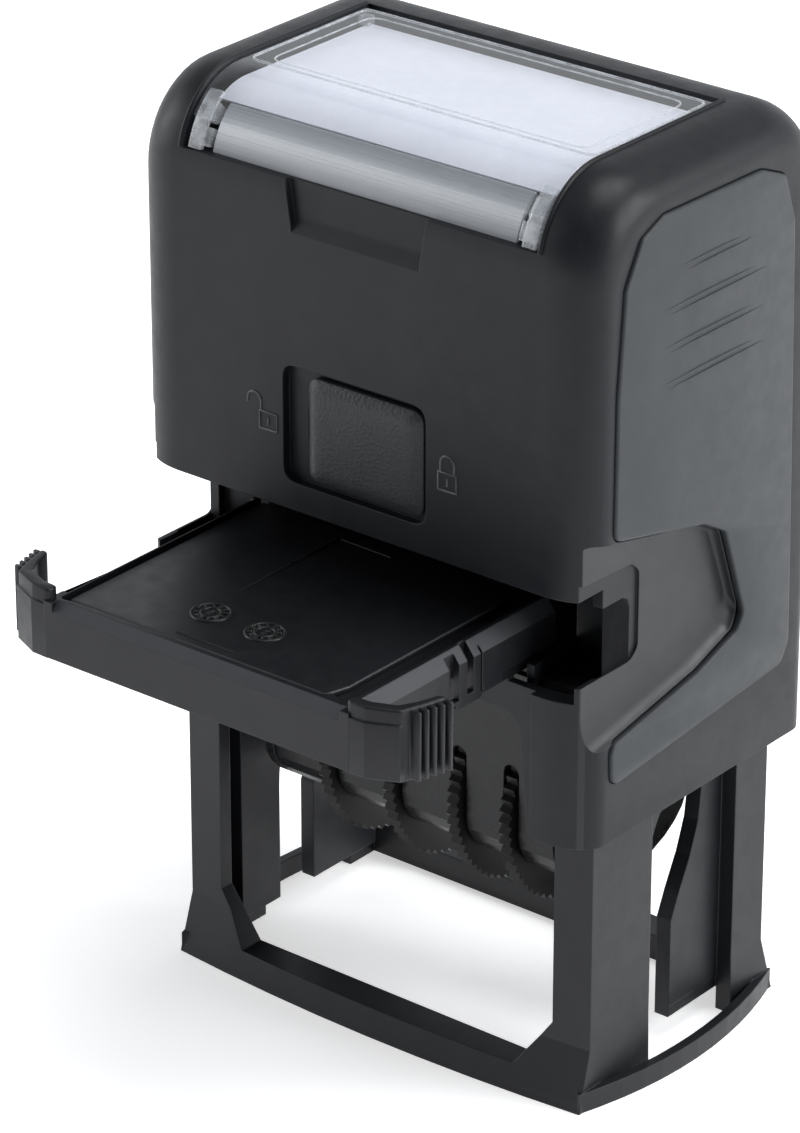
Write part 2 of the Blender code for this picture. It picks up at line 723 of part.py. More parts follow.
def main():
    start_scene()
    base_frame()
    return_spring("return_spring_left", -1)
    return_spring("return_spring_right", 1)

    hood_parts = [hood_shell(), yoke_bracket(), card_bed(), imprint_card(), window_front_strip()]
    hood = hang("hood_axis", (0, 0, HOOD_BOTTOM), hood_parts)

    cover = hang("window_axis", (0, 9.3, 111.0), [window_cover()])
    lock = hang("lock_axis", (0, -21.5, 75.5), [lock_button(), lock_latch()])
    cartridge = hang("cartridge_axis", (0, TRAY_FRONT, TRAY_LOW), [cartridge_tray(), ink_pad()])

    dater_parts = [dater_cover(), cradle_end("cradle_end_left", -1), cradle_end("cradle_end_right", 1)]
    dater_parts += [pivot_crank("pivot_crank_left", -1), pivot_crank("pivot_crank_right", 1)]
    dater_parts += [wheel_axle(), band_platen(), die_plate(), text_die()]
    for i, (x, side) in enumerate(zip(WHEEL_X, HUB_SIDE)):
        dater_parts.append(date_band(i + 1, x, side))
    dater = hang("dater_axis", (0, 0, PIVOT_Z), dater_parts)
    for i, (x, side) in enumerate(zip(WHEEL_X, HUB_SIDE)):
        wheel = date_wheel(i + 1, x, side)
        axis = hang("wheel_axis_%d" % (i + 1), (x, 0, AXLE_Z), [wheel])
        ride(axis, dater)
    for moving in (cover, lock, cartridge, dater):
        ride(moving, hood)


main()
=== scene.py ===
"""The looks of a self-inking rotary date stamp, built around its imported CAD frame.

Lengths are in millimetres and become metres where a shape is made. X is the stamp's width, -Y its front
and +Z up. Y is measured from the middle of the stamp's body, and SHIFT_Y moves a shape into the row frame.
"""
import json
import math

import bmesh
import bpy
from mathutils import Matrix, Vector

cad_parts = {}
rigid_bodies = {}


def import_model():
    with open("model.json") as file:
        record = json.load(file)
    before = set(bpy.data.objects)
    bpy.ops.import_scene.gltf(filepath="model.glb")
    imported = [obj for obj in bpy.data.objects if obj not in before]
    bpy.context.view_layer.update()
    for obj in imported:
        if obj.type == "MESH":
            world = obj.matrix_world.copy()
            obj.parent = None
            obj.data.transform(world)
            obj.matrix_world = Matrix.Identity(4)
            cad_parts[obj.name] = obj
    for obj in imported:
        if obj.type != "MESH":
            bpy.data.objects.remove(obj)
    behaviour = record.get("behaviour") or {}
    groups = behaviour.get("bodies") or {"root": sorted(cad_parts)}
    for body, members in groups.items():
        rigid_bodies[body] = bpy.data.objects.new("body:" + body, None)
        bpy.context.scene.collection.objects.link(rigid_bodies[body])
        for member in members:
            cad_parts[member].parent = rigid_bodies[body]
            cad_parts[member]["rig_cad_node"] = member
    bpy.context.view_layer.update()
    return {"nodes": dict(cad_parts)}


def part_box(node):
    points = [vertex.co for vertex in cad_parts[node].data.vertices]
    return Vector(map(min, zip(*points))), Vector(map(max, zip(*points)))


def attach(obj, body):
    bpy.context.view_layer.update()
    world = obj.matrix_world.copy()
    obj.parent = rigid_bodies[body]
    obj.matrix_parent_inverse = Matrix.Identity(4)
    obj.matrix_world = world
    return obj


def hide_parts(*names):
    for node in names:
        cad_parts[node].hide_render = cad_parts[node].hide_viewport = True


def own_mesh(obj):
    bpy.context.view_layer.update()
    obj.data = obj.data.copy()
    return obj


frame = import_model()
NODES = frame["nodes"]

MM = 0.001
SHIFT_Y = 13.7
GAP = 0.3

# Hood
HOOD_X = 32.1
HOOD_Y = 21.7
HOOD_TOP = 112.0
HOOD_BOTTOM = 35.0
HOOD_ROUND = 10.0
BAND = (6.3, 3.9, 4.5)
WALL = 2.0
WINDOW_X = 24.6
WINDOW_BACK = 10.8
WINDOW_LOW = 104.2
DRAWER_HIGH = 65.0
ARCH_X = 22.4
ARCH_FOOT_X = 24.0
ARCH_TOP = 49.2
ARCH_ROUND = 2.6
SILL_X = 20.7
CORNER_BACK = -16.3
FINGER_LOW = 54.7
POCKET_IN = 28.8
POCKET_BACK = -9.4
POCKET_LOW = 51.0
POCKET_HIGH = 67.6
PANEL_OUT = 32.5
PANEL_IN = 31.55
PANEL_GAP = 0.16
SCOOP_DEPTH = 1.7

# Window
ROUND_CENTRE = (-(HOOD_Y - HOOD_ROUND), HOOD_TOP - HOOD_ROUND)
STRIP_X = 21.2
CARD_X = 23.6

# Cartridge
TRAY_X = 21.6
TRAY_FRONT = -49.1
TRAY_BACK = -13.5
TRAY_LOW = 53.4
TRAY_HIGH = 60.3
WING_LOW = 53.1
WING_HIGH = 61.6
WING_X = 29.4
RAIL_FRONT = -46.0
LID_TOP = 59.95

# Return springs
GUIDE_TOP = 60.7
SPRING_X = 27.5
SPRING_Y = 12.6
SPRING_TOP = 103.0
SPRING_RADIUS = 1.55
SPRING_TURNS = 12
TURN_POINTS = 24
WIRE_RADIUS = 0.26

# The camera, measured from the middle of the body at rest
CAMERA_YAW = 39.04
CAMERA_PITCH = 25.53
CAMERA_DISTANCE = 613.3
CAMERA_TARGET = (-11.27, 0.0, 49.3)
CAMERA_LENS = 168.66

# The studio's light
DARK_SIDE = (0.62, -0.78, 0.10)
WORLD_BRIGHT = 0.85
WORLD_DARK = 0.04
WORLD_HIGH = 0.3
FLOOR_GLOW = 0.52
LIGHT_TARGET = (0, 0, 0.05)

SIDES = ((-1, "left"), (1, "right"))


# Shapes

def add_object(name, mesh):
    """Put a mesh in the scene under a name."""
    obj = bpy.data.objects.new(name, mesh)
    bpy.context.scene.collection.objects.link(obj)
    return obj


def from_bmesh(name, bm):
    """Turn a bmesh in millimetres into an object in the row frame."""
    bmesh.ops.translate(bm, vec=(0, SHIFT_Y, 0), verts=bm.verts)
    bmesh.ops.scale(bm, vec=(MM, MM, MM), verts=bm.verts)
    mesh = bpy.data.meshes.new(name)
    bm.to_mesh(mesh)
    bm.free()
    return add_object(name, mesh)


def box(name, low, high):
    """A block between two opposite corners."""
    bm = bmesh.new()
    bmesh.ops.create_cube(bm, size=1.0)
    size = [high[i] - low[i] for i in range(3)]
    centre = [(high[i] + low[i]) / 2 for i in range(3)]
    bmesh.ops.scale(bm, vec=size, verts=bm.verts)
    bmesh.ops.translate(bm, vec=centre, verts=bm.verts)
    return from_bmesh(name, bm)


def side_box(name, side, x_in, x_out, y_range, z_range):
    """A block on one side, between two distances from the middle plane."""
    x_range = sorted((side * x_in, side * x_out))
    low, high = zip(x_range, y_range, z_range)
    return box(name, low, high)


# How a flat outline turns so that its thickness lies along an axis.
PLATE_AXES = {
    "X": Matrix(((0, 0, 1), (1, 0, 0), (0, 1, 0))),
    "Y": Matrix(((1, 0, 0), (0, 0, -1), (0, 1, 0))),
    "Z": Matrix.Identity(3),
}


def plate(name, axis, outline, low, high, holes=(), edge=0.0):
    """A flat outline with holes, as thick as from low to high along an axis, its edges rounded by edge."""
    curve = bpy.data.curves.new(name, "CURVE")
    curve.dimensions = "2D"
    curve.fill_mode = "BOTH"
    curve.extrude = ((high - low) / 2 - edge) * MM
    curve.bevel_depth = edge * MM
    curve.bevel_resolution = 2
    curve.offset = -edge * MM
    for loop in (outline, *holes):
        spline = curve.splines.new("POLY")
        spline.points.add(len(loop) - 1)
        for point, (u, v) in zip(spline.points, loop):
            point.co = (u * MM, v * MM, 0, 1)
        spline.use_cyclic_u = True
    guide = add_object(name + "_outline", curve)
    centre = Vector((0, SHIFT_Y * MM, 0))
    centre["XYZ".index(axis)] += (low + high) / 2 * MM
    guide.matrix_world = Matrix.Translation(centre) @ PLATE_AXES[axis].to_4x4()
    return solid_of(guide, name)


def side_plate(name, side, outline, x_in, x_out, edge=0.0):
    """A plate across X on one side, between two distances from the middle plane."""
    low, high = sorted((side * x_in, side * x_out))
    return plate(name, "X", outline, low, high, edge=edge)


def solid_of(guide, name):
    """Replace a curve by a welded mesh in the same place, in the row frame."""
    mesh = evaluated_mesh(guide)
    mesh.transform(guide.matrix_world)
    bpy.data.objects.remove(guide, do_unlink=True)
    bm = bmesh.new()
    bm.from_mesh(mesh)
    bmesh.ops.remove_doubles(bm, verts=bm.verts, dist=0.000005)
    bmesh.ops.recalc_face_normals(bm, faces=bm.faces)
    bm.to_mesh(mesh)
    bm.free()
    return add_object(name, mesh)


def evaluated_mesh(obj):
    """A new mesh of what an object's curve or modifiers make."""
    bpy.context.view_layer.update()
    return bpy.data.meshes.new_from_object(obj.evaluated_get(bpy.context.evaluated_depsgraph_get()))


def loft(name, sections):
    """A closed solid through sections that have the same number of points, in order."""
    bm = bmesh.new()
    rings = [[bm.verts.new(point) for point in section] for section in sections]
    count = len(rings[0])
    for lower, upper in zip(rings, rings[1:]):
        for i in range(count):
            j = (i + 1) % count
            bm.faces.new((lower[i], lower[j], upper[j], upper[i]))
    bm.faces.new(list(reversed(rings[0])))
    bm.faces.new(rings[-1])
    bmesh.ops.recalc_face_normals(bm, faces=bm.faces)
    return from_bmesh(name, bm)


def tube(name, paths, radius, cyclic=False, sides=2):
    """Round beads of one radius along paths of points."""
    curve = bpy.data.curves.new(name, "CURVE")
    curve.dimensions = "3D"
    curve.bevel_depth = radius * MM
    curve.bevel_resolution = sides
    curve.use_fill_caps = True
    for path in paths:
        spline = curve.splines.new("POLY")
        spline.points.add(len(path) - 1)
        for point, (x, y, z) in zip(spline.points, path):
            point.co = (x * MM, (y + SHIFT_Y) * MM, z * MM, 1)
        spline.use_cyclic_u = cyclic
    return solid_of(add_object(name + "_path", curve), name)


def arc(centre, radius, start, end, steps):
    """Points on an arc, by angle in degrees."""
    points = []
    for i in range(steps + 1):
        angle = math.radians(start + (end - start) * i / steps)
        points.append((centre[0] + radius * math.cos(angle), centre[1] + radius * math.sin(angle)))
    return points


def rounded(points, radius, steps=5):
    """An outline with each corner rounded, as far as its sides allow."""
    result = []
    count = len(points)
    for i, point in enumerate(points):
        here = Vector(point)
        before = Vector(points[i - 1]) - here
        after = Vector(points[(i + 1) % count]) - here
        half = before.angle(after) / 2
        reach = min(radius / math.tan(half), before.length * 0.48, after.length * 0.48)
        start = here + before.normalized() * reach
        end = here + after.normalized() * reach
        for k in range(steps + 1):
            t = k / steps
            result.append(tuple(start * (1 - t) ** 2 + here * 2 * t * (1 - t) + end * t * t))
    return result


def apply_modifiers(obj):
    """Replace an object's mesh by what its modifiers make of it."""
    mesh = evaluated_mesh(obj)
    obj.modifiers.clear()
    obj.data = mesh


def boolean(target, tools, operation):
    """Cut tools out of a piece, or join them on, and drop the tools."""
    for tool in tools:
        modifier = target.modifiers.new(tool.name, "BOOLEAN")
        modifier.operation = operation
        modifier.solver = "EXACT"
        modifier.object = tool
    apply_modifiers(target)
    for tool in tools:
        bpy.data.objects.remove(tool, do_unlink=True)


def cut(target, *tools):
    """Cut tools out of a piece."""
    boolean(target, tools, "DIFFERENCE")


def join(target, *tools):
    """Join tools on to a piece."""
    boolean(target, tools, "UNION")


def merge(name, parts):
    """Several closed shells that stay as they are, as one piece."""
    bm = bmesh.new()
    for part in parts:
        bm.from_mesh(part.data)
        bpy.data.objects.remove(part, do_unlink=True)
    mesh = bpy.data.meshes.new(name)
    bm.to_mesh(mesh)
    bm.free()
    return add_object(name, mesh)


def smooth(obj, angle):
    """Smooth shading that keeps edges sharper than an angle."""
    obj.data.shade_smooth()
    obj.data.set_sharp_from_angle(angle=math.radians(angle))


def soften(obj, width, segments=2, angle=35):
    """Round the sharp edges of a piece or a CAD node."""
    if "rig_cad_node" in obj:
        merge_flat = obj.modifiers.new("flat_faces", "DECIMATE")
        merge_flat.decimate_type = "DISSOLVE"
        merge_flat.angle_limit = math.radians(1)
    bevel = obj.modifiers.new("rounded_edges", "BEVEL")
    bevel.width = width * MM
    bevel.segments = segments
    bevel.limit_method = "ANGLE"
    bevel.angle_limit = math.radians(angle)
    bevel.use_clamp_overlap = True
    bevel.harden_normals = True
    return obj


def dress(obj, material, body, stands_for=()):
    """Give a piece its material, the body it rides on and the CAD nodes it stands for."""
    obj.data.materials.clear()
    obj.data.materials.append(material)
    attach(obj, body)
    if stands_for:
        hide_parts(*stands_for)


def paint_node(node, material):
    """Give a CAD node that stays visible its material."""
    if not node.material_slots:
        node.data.materials.append(material)
    for place in node.material_slots:
        place.link = "OBJECT"
        place.material = material


# Materials

class Nodes:
    """A material's node tree with short ways to add and join nodes."""

    def __init__(self, name):
        self.material = bpy.data.materials.new(name)
        self.material.use_nodes = True
        self.tree = self.material.node_tree
        self.shader = self.tree.nodes["Principled BSDF"]

    def add(self, kind, **values):
        """A new node with its properties or inputs set."""
        node = self.tree.nodes.new("ShaderNode" + kind)
        for key, value in values.items():
            if hasattr(node, key):
                setattr(node, key, value)
            else:
                node.inputs[key.replace("_", " ")].default_value = value
        return node

    def link(self, source, target):
        """Join an output to an input."""
        self.tree.links.new(source, target)

    def noise(self, scale, detail=2.0, roughness=0.5, stretch=None):
        """Noise in the row frame, in features per metre."""
        where = self.add("TexCoord").outputs["Object"]
        if stretch:
            mapping = self.add("Mapping")
            mapping.inputs["Scale"].default_value = stretch
            self.link(where, mapping.inputs["Vector"])
            where = mapping.outputs["Vector"]
        node = self.add("TexNoise")
        node.inputs["Scale"].default_value = scale
        node.inputs["Detail"].default_value = detail
        node.inputs["Roughness"].default_value = roughness
        self.link(where, node.inputs["Vector"])
        return node.outputs["Fac"]

    def spread(self, source, low, high, start=0.35, end=0.65):
        """Stretch a value from one range to another."""
        node = self.add("MapRange")
        node.inputs["From Min"].default_value = start
        node.inputs["From Max"].default_value = end
        node.inputs["To Min"].default_value = low
        node.inputs["To Max"].default_value = high
        self.link(source, node.inputs["Value"])
        return node.outputs["Result"]

    def blend(self, factor, first, second):
        """Mix two colours, each a tuple or a socket."""
        node = self.add("Mix")
        node.data_type = "RGBA"
        self.link(factor, node.inputs[0])
        for socket, value in ((node.inputs[6], first), (node.inputs[7], second)):
            if isinstance(value, tuple):
                socket.default_value = (*value, 1.0)
            else:
                self.link(value, socket)
        return node.outputs[2]

    def product(self, first, second):
        """Two values multiplied."""
        node = self.add("Math", operation="MULTIPLY")
        self.link(first, node.inputs[0])
        self.link(second, node.inputs[1])
        return node.outputs["Value"]

    def upward(self, vector):
        """The Z part of a vector."""
        node = self.add("SeparateXYZ")
        self.link(vector, node.inputs["Vector"])
        return node.outputs["Z"]

    def surface(self, color, roughness, normal):
        """Join a colour, a roughness and a normal to the shader."""
        self.link(color, self.shader.inputs["Base Color"])
        self.link(roughness, self.shader.inputs["Roughness"])
        self.link(normal, self.shader.inputs["Normal"])

    def bump(self, height, distance, strength=1.0, normal=None):
        """The normal of a surface with a height in millimetres."""
        node = self.add("Bump")
        node.inputs["Distance"].default_value = distance * MM
        node.inputs["Strength"].default_value = strength
        self.link(height, node.inputs["Height"])
        if normal:
            self.link(normal, node.inputs["Normal"])
        return node.outputs["Normal"]

    def round_normal(self, radius):
        """The surface's normal with its sharp edges rounded."""
        node = self.add("Bevel", samples=4)
        node.inputs["Radius"].default_value = radius * MM
        return node.outputs["Normal"]

    def edge_mask(self, normal):
        """1 along sharp edges and 0 on flat faces."""
        flat = self.add("NewGeometry").outputs["Normal"]
        dot = self.add("VectorMath", operation="DOT_PRODUCT")
        self.link(normal, dot.inputs[0])
        self.link(flat, dot.inputs[1])
        return self.spread(dot.outputs["Value"], 0.0, 1.0, 0.995, 0.90)


def tint(color, share):
    """A colour made lighter or darker."""
    return tuple(min(1.0, channel * share) for channel in color)


def moulded(
    name, color, roughness, grain=0.012, edge=0.22, edge_wear_and_highlight=1.7, grain_scale=5200.0, shine=0.3, slope_sheen=None
):
    """Moulded plastic: spark-eroded grain, faint flow marks, edges made lighter, partly as real rubbing and
    partly as a painted highlight, and a painted sheen on upward slopes.
    """
    n = Nodes(name)
    flow = n.noise(90.0, 3.0, 0.55, (1.0, 1.0, 0.45))
    grains = n.noise(grain_scale, 2.0, 0.6)
    base = n.blend(n.spread(flow, 0.0, 1.0), tint(color, 0.88), tint(color, 1.12))
    speckled = n.blend(n.spread(grains, 0.0, 0.35, 0.4, 0.75), base, tint(color, 1.5))
    soft = n.round_normal(edge)
    # Edges made lighter: partly real rubbing, partly a painted highlight along them.
    wear_and_highlight = n.blend(n.edge_mask(soft), speckled, tint(color, edge_wear_and_highlight))
    # Upward slopes get a painted sheen: lighter colour where the lamps would reflect.
    if slope_sheen:
        wear_and_highlight = n.blend(slope_mask(n), wear_and_highlight, slope_sheen)
    polish = n.spread(n.noise(420.0, 4.0, 0.6), roughness - 0.04, roughness + 0.05)
    n.surface(wear_and_highlight, polish, n.bump(grains, grain, 0.7, soft))
    n.shader.inputs["Specular IOR Level"].default_value = shine
    return n.material


def slope_mask(n):
    """1 on faces that slope upwards, 0 on level and on upright ones: where the painted sheen goes."""
    rise = n.upward(n.add("NewGeometry").outputs["Normal"])
    return n.product(n.spread(rise, 0.0, 1.0, 0.25, 0.40), n.spread(rise, 1.0, 0.0, 0.93, 0.985))


def clear_plastic(name, haze_and_glint):
    """Clear polystyrene: see-through, with a shine that grows at a slant, faint ripples and a white milky
    share, faint clouding when low and a painted highlight when high.
    """
    n = Nodes(name)
    normal = n.bump(n.noise(260.0, 2.0, 0.5), 0.03, 0.35, n.round_normal(0.2))
    gloss = n.add("BsdfGlossy", Color=(1.0, 1.0, 1.0, 1.0), Roughness=0.05)
    see = n.add("BsdfTransparent", Color=(0.955, 0.965, 0.975, 1.0))
    milky = n.add("BsdfDiffuse", Color=(0.80, 0.82, 0.85, 1.0))
    fresnel = n.add("Fresnel", IOR=1.55)
    n.link(normal, fresnel.inputs["Normal"])
    n.link(normal, gloss.inputs["Normal"])
    outside = n.spread(n.add("NewGeometry").outputs["Backfacing"], 1.0, 0.0, 0.0, 1.0)
    glassy = mixed(n, n.product(fresnel.outputs["Fac"], outside), see.outputs["BSDF"], gloss.outputs["BSDF"])
    cloud = n.spread(n.noise(500.0, 3.0, 0.6), haze_and_glint * 0.6, haze_and_glint * 1.4)
    haze_and_glint_mix = mixed(n, cloud, glassy, milky.outputs["BSDF"])
    n.link(haze_and_glint_mix, n.tree.nodes["Material Output"].inputs["Surface"])
    n.tree.nodes.remove(n.shader)
    return n.material


def mixed(n, share, first, second):
    """Two shaders mixed."""
    node = n.add("MixShader")
    for i, source in enumerate((share, first, second)):
        n.link(source, node.inputs[i])
    return node.outputs["Shader"]


def frosted(name):
    """Frosted silvery plastic with fine lines along X, a painted highlight along its middle and painted shade
    towards its top and bottom edges.
    """
    n = Nodes(name)
    lines = n.noise(1.0, 3.0, 0.6, (14.0, 7000.0, 7000.0))
    clouds = n.noise(60.0, 3.0, 0.5)
    height = n.upward(n.add("TexCoord").outputs["Object"])
    # Painted light: a bright band along the curved strip's middle and darker colour above and below it, where
    # it catches or misses the lamps.
    middle = n.product(n.spread(height, 0.0, 1.0, 0.1045, 0.1072), n.spread(height, 1.0, 0.0, 0.1068, 0.1100))
    color = n.blend(middle, (0.24, 0.25, 0.27), (0.66, 0.68, 0.70))
    color = n.blend(n.spread(clouds, 0.0, 0.3), color, (0.42, 0.44, 0.47))
    color = n.blend(n.spread(lines, 0.0, 0.12), color, (0.66, 0.68, 0.70))
    n.surface(color, n.spread(lines, 0.26, 0.33), n.bump(lines, 0.001, 0.3))
    n.shader.inputs["Metallic"].default_value = 0.45
    return n.material


def paper(name):
    """Smooth white card with a faint fibre."""
    n = Nodes(name)
    fibre = n.noise(2400.0, 5.0, 0.65, (1.0, 0.5, 1.0))
    cloud = n.noise(120.0, 3.0, 0.5)
    base = n.blend(n.spread(cloud, 0.0, 1.0), (0.82, 0.82, 0.90), (0.86, 0.86, 0.93))
    color = n.blend(n.spread(fibre, 0.0, 0.25), base, (0.70, 0.70, 0.78))
    n.surface(color, n.spread(fibre, 0.72, 0.85), n.bump(fibre, 0.01, 0.5))
    n.shader.inputs["Sheen Weight"].default_value = 0.1
    return n.material


def rubber(name, color):
    """Matt rubber with a powdery bloom and a pebbled skin."""
    n = Nodes(name)
    bloom = n.noise(700.0, 5.0, 0.65)
    pebble = n.noise(9000.0, 2.0, 0.5)
    soft = n.round_normal(0.12)
    base = n.blend(n.spread(bloom, 0.0, 1.0), tint(color, 0.8), tint(color, 1.35))
    # Edges made twice as light: partly powdery rubbing, partly a painted highlight.
    wear_and_highlight = n.blend(n.edge_mask(soft), base, tint(color, 2.0))
    n.surface(wear_and_highlight, n.spread(bloom, 0.54, 0.72), n.bump(pebble, 0.012, 0.8, soft))
    return n.material


def steel(name):
    """Drawn steel wire: fine lines and a little tarnish."""
    n = Nodes(name)
    drawn = n.noise(1.0, 3.0, 0.6, (150.0, 5000.0, 5000.0))
    tarnish = n.noise(800.0, 4.0, 0.6)
    color = n.blend(n.spread(tarnish, 0.0, 1.0), (0.50, 0.51, 0.53), (0.66, 0.66, 0.67))
    n.surface(color, n.spread(drawn, 0.22, 0.38), n.bump(drawn, 0.004, 0.6))
    n.shader.inputs["Metallic"].default_value = 1.0
    return n.material


def felt(name):
    """Ink-soaked felt with a fibrous nap."""
    n = Nodes(name)
    fibres = n.noise(3200.0, 6.0, 0.7, (1.0, 0.45, 1.0))
    damp = n.noise(160.0, 3.0, 0.5)
    base = n.blend(n.spread(damp, 0.0, 1.0), (0.008, 0.009, 0.014), (0.018, 0.02, 0.032))
    color = n.blend(n.spread(fibres, 0.0, 0.6), base, (0.05, 0.052, 0.065))
    n.surface(color, n.spread(damp, 0.6, 0.9), n.bump(fibres, 0.12, 1.0))
    n.shader.inputs["Sheen Weight"].default_value = 0.35
    n.shader.inputs["Sheen Roughness"].default_value = 0.6
    return n.material


HOOD = moulded("hood_plastic_look", (0.0105, 0.0115, 0.0140), 0.40, edge_wear_and_highlight=2.2, shine=0.25)
PANEL = moulded("panel_plastic_look", (0.030, 0.0340, 0.0375), 0.44)
BASE = moulded("base_plastic_look", (0.0100, 0.0108, 0.0130), 0.40, edge_wear_and_highlight=2.6)
INNER = moulded("inner_plastic_look", (0.005, 0.005, 0.0055), 0.42, edge_wear_and_highlight=2.2)
# The cartridge's upward bevels get a painted sheen.
TRAY = moulded(
    "cartridge_plastic_look", (0.0078, 0.0083, 0.0100), 0.38, edge_wear_and_highlight=3.0, slope_sheen=(0.042, 0.045, 0.050)
)
GRIP = moulded("grip_plastic_look", (0.0095, 0.0100, 0.0118), 0.40, edge_wear_and_highlight=3.0)
# A lighter copy of the hood's plastic: painted light on the scoops, whose faces turn up towards the lamps.
LIT_SCOOP = moulded("scoop_painted_light_look", (0.0185, 0.0205, 0.0225), 0.36, edge_wear_and_highlight=2.2)
MARKS = moulded("marks_plastic_look", (0.016, 0.0163, 0.017), 0.30, edge_wear_and_highlight=2.0)
BUTTON = moulded("button_plastic_look", (0.032, 0.0335, 0.037), 0.42, grain=0.12, grain_scale=2600.0)
DATER = moulded("dater_plastic_look", (0.012, 0.0125, 0.0135), 0.30, grain=0.004)
WHEEL = moulded("wheel_plastic_look", (0.006, 0.006, 0.0065), 0.38, edge=0.1)
ICON = moulded("icon_plastic_look", (0.075, 0.077, 0.080), 0.35, edge=0.05)
CLEAR = clear_plastic("clear_cover_look", 0.03)
# The strong milky share here is a painted highlight on the cover's border, lugs and pegs.
CLEAR_EDGE_GLINT = clear_plastic("clear_edge_painted_highlight_look", 0.28)
FROST = frosted("frosted_strip_look")
CARD = paper("white_card_look")
BAND_RUBBER = rubber("band_rubber_look", (0.020, 0.020, 0.022))
DIE_RUBBER = rubber("die_rubber_look", (0.030, 0.014, 0.013))
STEEL = steel("steel_look")
FELT = felt("ink_felt_look")


# Hood

def hood_section(x, half_y, top, radius, bottom):
    """The hood's outline at one distance from the middle."""
    flat_y = half_y - radius
    points = [(-half_y, bottom)]
    points += arc((-flat_y, top - radius), radius, 180, 90, 12)
    points += arc((flat_y, top - radius), radius, 90, 0, 12)
    points.append((half_y, bottom))
    return [(x, y, z) for y, z in points]


def hood_block(name, half_x, half_y, top, radius, band, bottom):
    """A block with a rounded top whose front, back and top roll over to its sides."""
    steps = 10
    stations = []
    for i in range(steps + 1):
        angle = math.radians(90 * i / steps)
        x = half_x - band[0] + band[0] * math.sin(angle)
        drop = 1 - math.cos(angle)
        stations.append((x, half_y - band[1] * drop, top - band[2] * drop, radius - drop))
    sections = [hood_section(-x, y, z, r, bottom) for x, y, z, r in reversed(stations)]
    sections += [hood_section(x, y, z, r, bottom) for x, y, z, r in stations]
    return loft(name, sections)


def panel_outline():
    """The raised side panel, in Y and Z, with the scoop for the finger left out of its front."""
    top = [(-17.3, 71.6), (-17.2, 88.3), (-16.2, 100.5), (-13.6, 105.2), (-9.6, 106.9), (8.0, 106.6)]
    back = [(12.4, 104.8), (14.4, 99.0), (15.6, 62.0), (15.9, 47.4), (14.5, 44.9)]
    bottom = [(-17.2, 42.0), (-17.4, 47.0)]
    return top + back + bottom + scoop_outline()[6:1:-1]


def scoop_outline():
    """The edge of the scoop round the finger opening, from its upper front to its lower front."""
    return [
        (-31, 73.9), (-17.4, 71.3), (-1.0, 67.9), (3.0, 65.6), (6.9, 54.4), (5.6, 52.3), (-1.4, 49.9),
        (-17.4, 47.0), (-31, 44.9),
    ]


def scoop_floor():
    """The foot of the scoop's curved border."""
    return [
        (-31, 73.1), (-17.4, 70.6), (-1.3, 67.3), (2.4, 65.1), (6.0, 56.2), (2.6, 55.4), (-4.0, 54.4),
        (-17.4, 51.6), (-31, 49.4),
    ]


def scoop(side):
    """What is hollowed out of a side: a concave border that runs down to a flat floor."""
    outer = rounded(scoop_outline(), 2.0, 4)
    inner = rounded(scoop_floor(), 1.6, 4)
    sections = [[(side * (HOOD_X + 2), y, z) for y, z in outer]]
    steps = 8
    for i in range(steps + 1):
        angle = math.radians(90 * i / steps)
        share = 1 - math.cos(angle)
        x = HOOD_X + 0.02 - SCOOP_DEPTH * math.sin(angle)
        ring = [(side * x, a[0] + (b[0] - a[0]) * share, a[1] + (b[1] - a[1]) * share)
                for a, b in zip(outer, inner)]
        sections.append(ring)
    return loft("scoop", sections)


def finger_opening():
    """The C-shaped opening round a cartridge grip, in Y and Z."""
    points = [(-30, FINGER_LOW), (-11.6, FINGER_LOW), (-10.2, 55.9), (-10.2, 65.3)]
    points += [(-11.7, 66.5), (-30, 67.4)]
    return rounded(points, 1.6)


def pocket_lip():
    """The lip inside a finger opening, in Y and Z."""
    low = WING_LOW - GAP
    return [
        (-18.6, POCKET_HIGH), (POCKET_BACK, POCKET_HIGH), (POCKET_BACK, POCKET_LOW), (-17.6, POCKET_LOW),
        (-17.6, low), (-12.9, low), (-12.1, 53.1), (-11.6, 53.8), (-11.5, 54.6), (-11.5, 61.2),
        (-11.8, 62.2), (-12.7, 62.7), (-18.6, 62.7),
    ]


def arch():
    """The opening under the cartridge, in X and Z."""
    flat_x = ARCH_X - ARCH_ROUND
    points = [(-ARCH_FOOT_X, 30)]
    points += arc((-flat_x, ARCH_TOP - ARCH_ROUND), ARCH_ROUND, 180, 90, 8)
    points += arc((flat_x, ARCH_TOP - ARCH_ROUND), ARCH_ROUND, 90, 0, 8)
    points.append((ARCH_FOOT_X, 30))
    return points


def finger_notch():
    """The recess below the window's front edge, deep at the top and sloping out at its foot."""
    widths = [(98.2, 8.9, 0.0), (99.4, 9.0, 0.75), (100.2, 9.15, 0.9), (106, 10.1, 0.95)]
    sections = []
    for z, half_x, depth in widths:
        y = -HOOD_Y + depth
        sections.append([(-half_x, -26, z), (half_x, -26, z), (half_x, y, z), (-half_x, y, z)])
    return loft("finger_notch", sections)


def open_side(hood, side):
    """The pocket behind a finger opening, the scoop round it and the recess for the side panel."""
    join(
        hood,
        side_plate("lip", side, pocket_lip(), POCKET_IN, HOOD_X - WALL + 0.2),
        side_box("pocket_back", side, 22.2, 29.2, (-10.4, POCKET_BACK), (POCKET_LOW, POCKET_HIGH)),
        side_box("pocket_floor", side, 22.6, 29.2, (-18.0, POCKET_BACK), (POCKET_LOW, WING_LOW - GAP)),
    )
    beyond = HOOD_X + 2
    recess = rounded(grown(panel_outline(), PANEL_GAP), 1.6, 4)
    cut(hood, scoop(side))
    cut(hood, side_plate("finger_opening", side, finger_opening(), HOOD_X - WALL, beyond))
    cut(hood, side_plate("panel_recess", side, recess, PANEL_IN - 0.05, beyond))
    grip_z = (WING_LOW - GAP, DRAWER_HIGH - 1)
    cut(hood, side_box("grip_way", side, SILL_X, WING_X + 0.4, (-25, -17), grip_z))


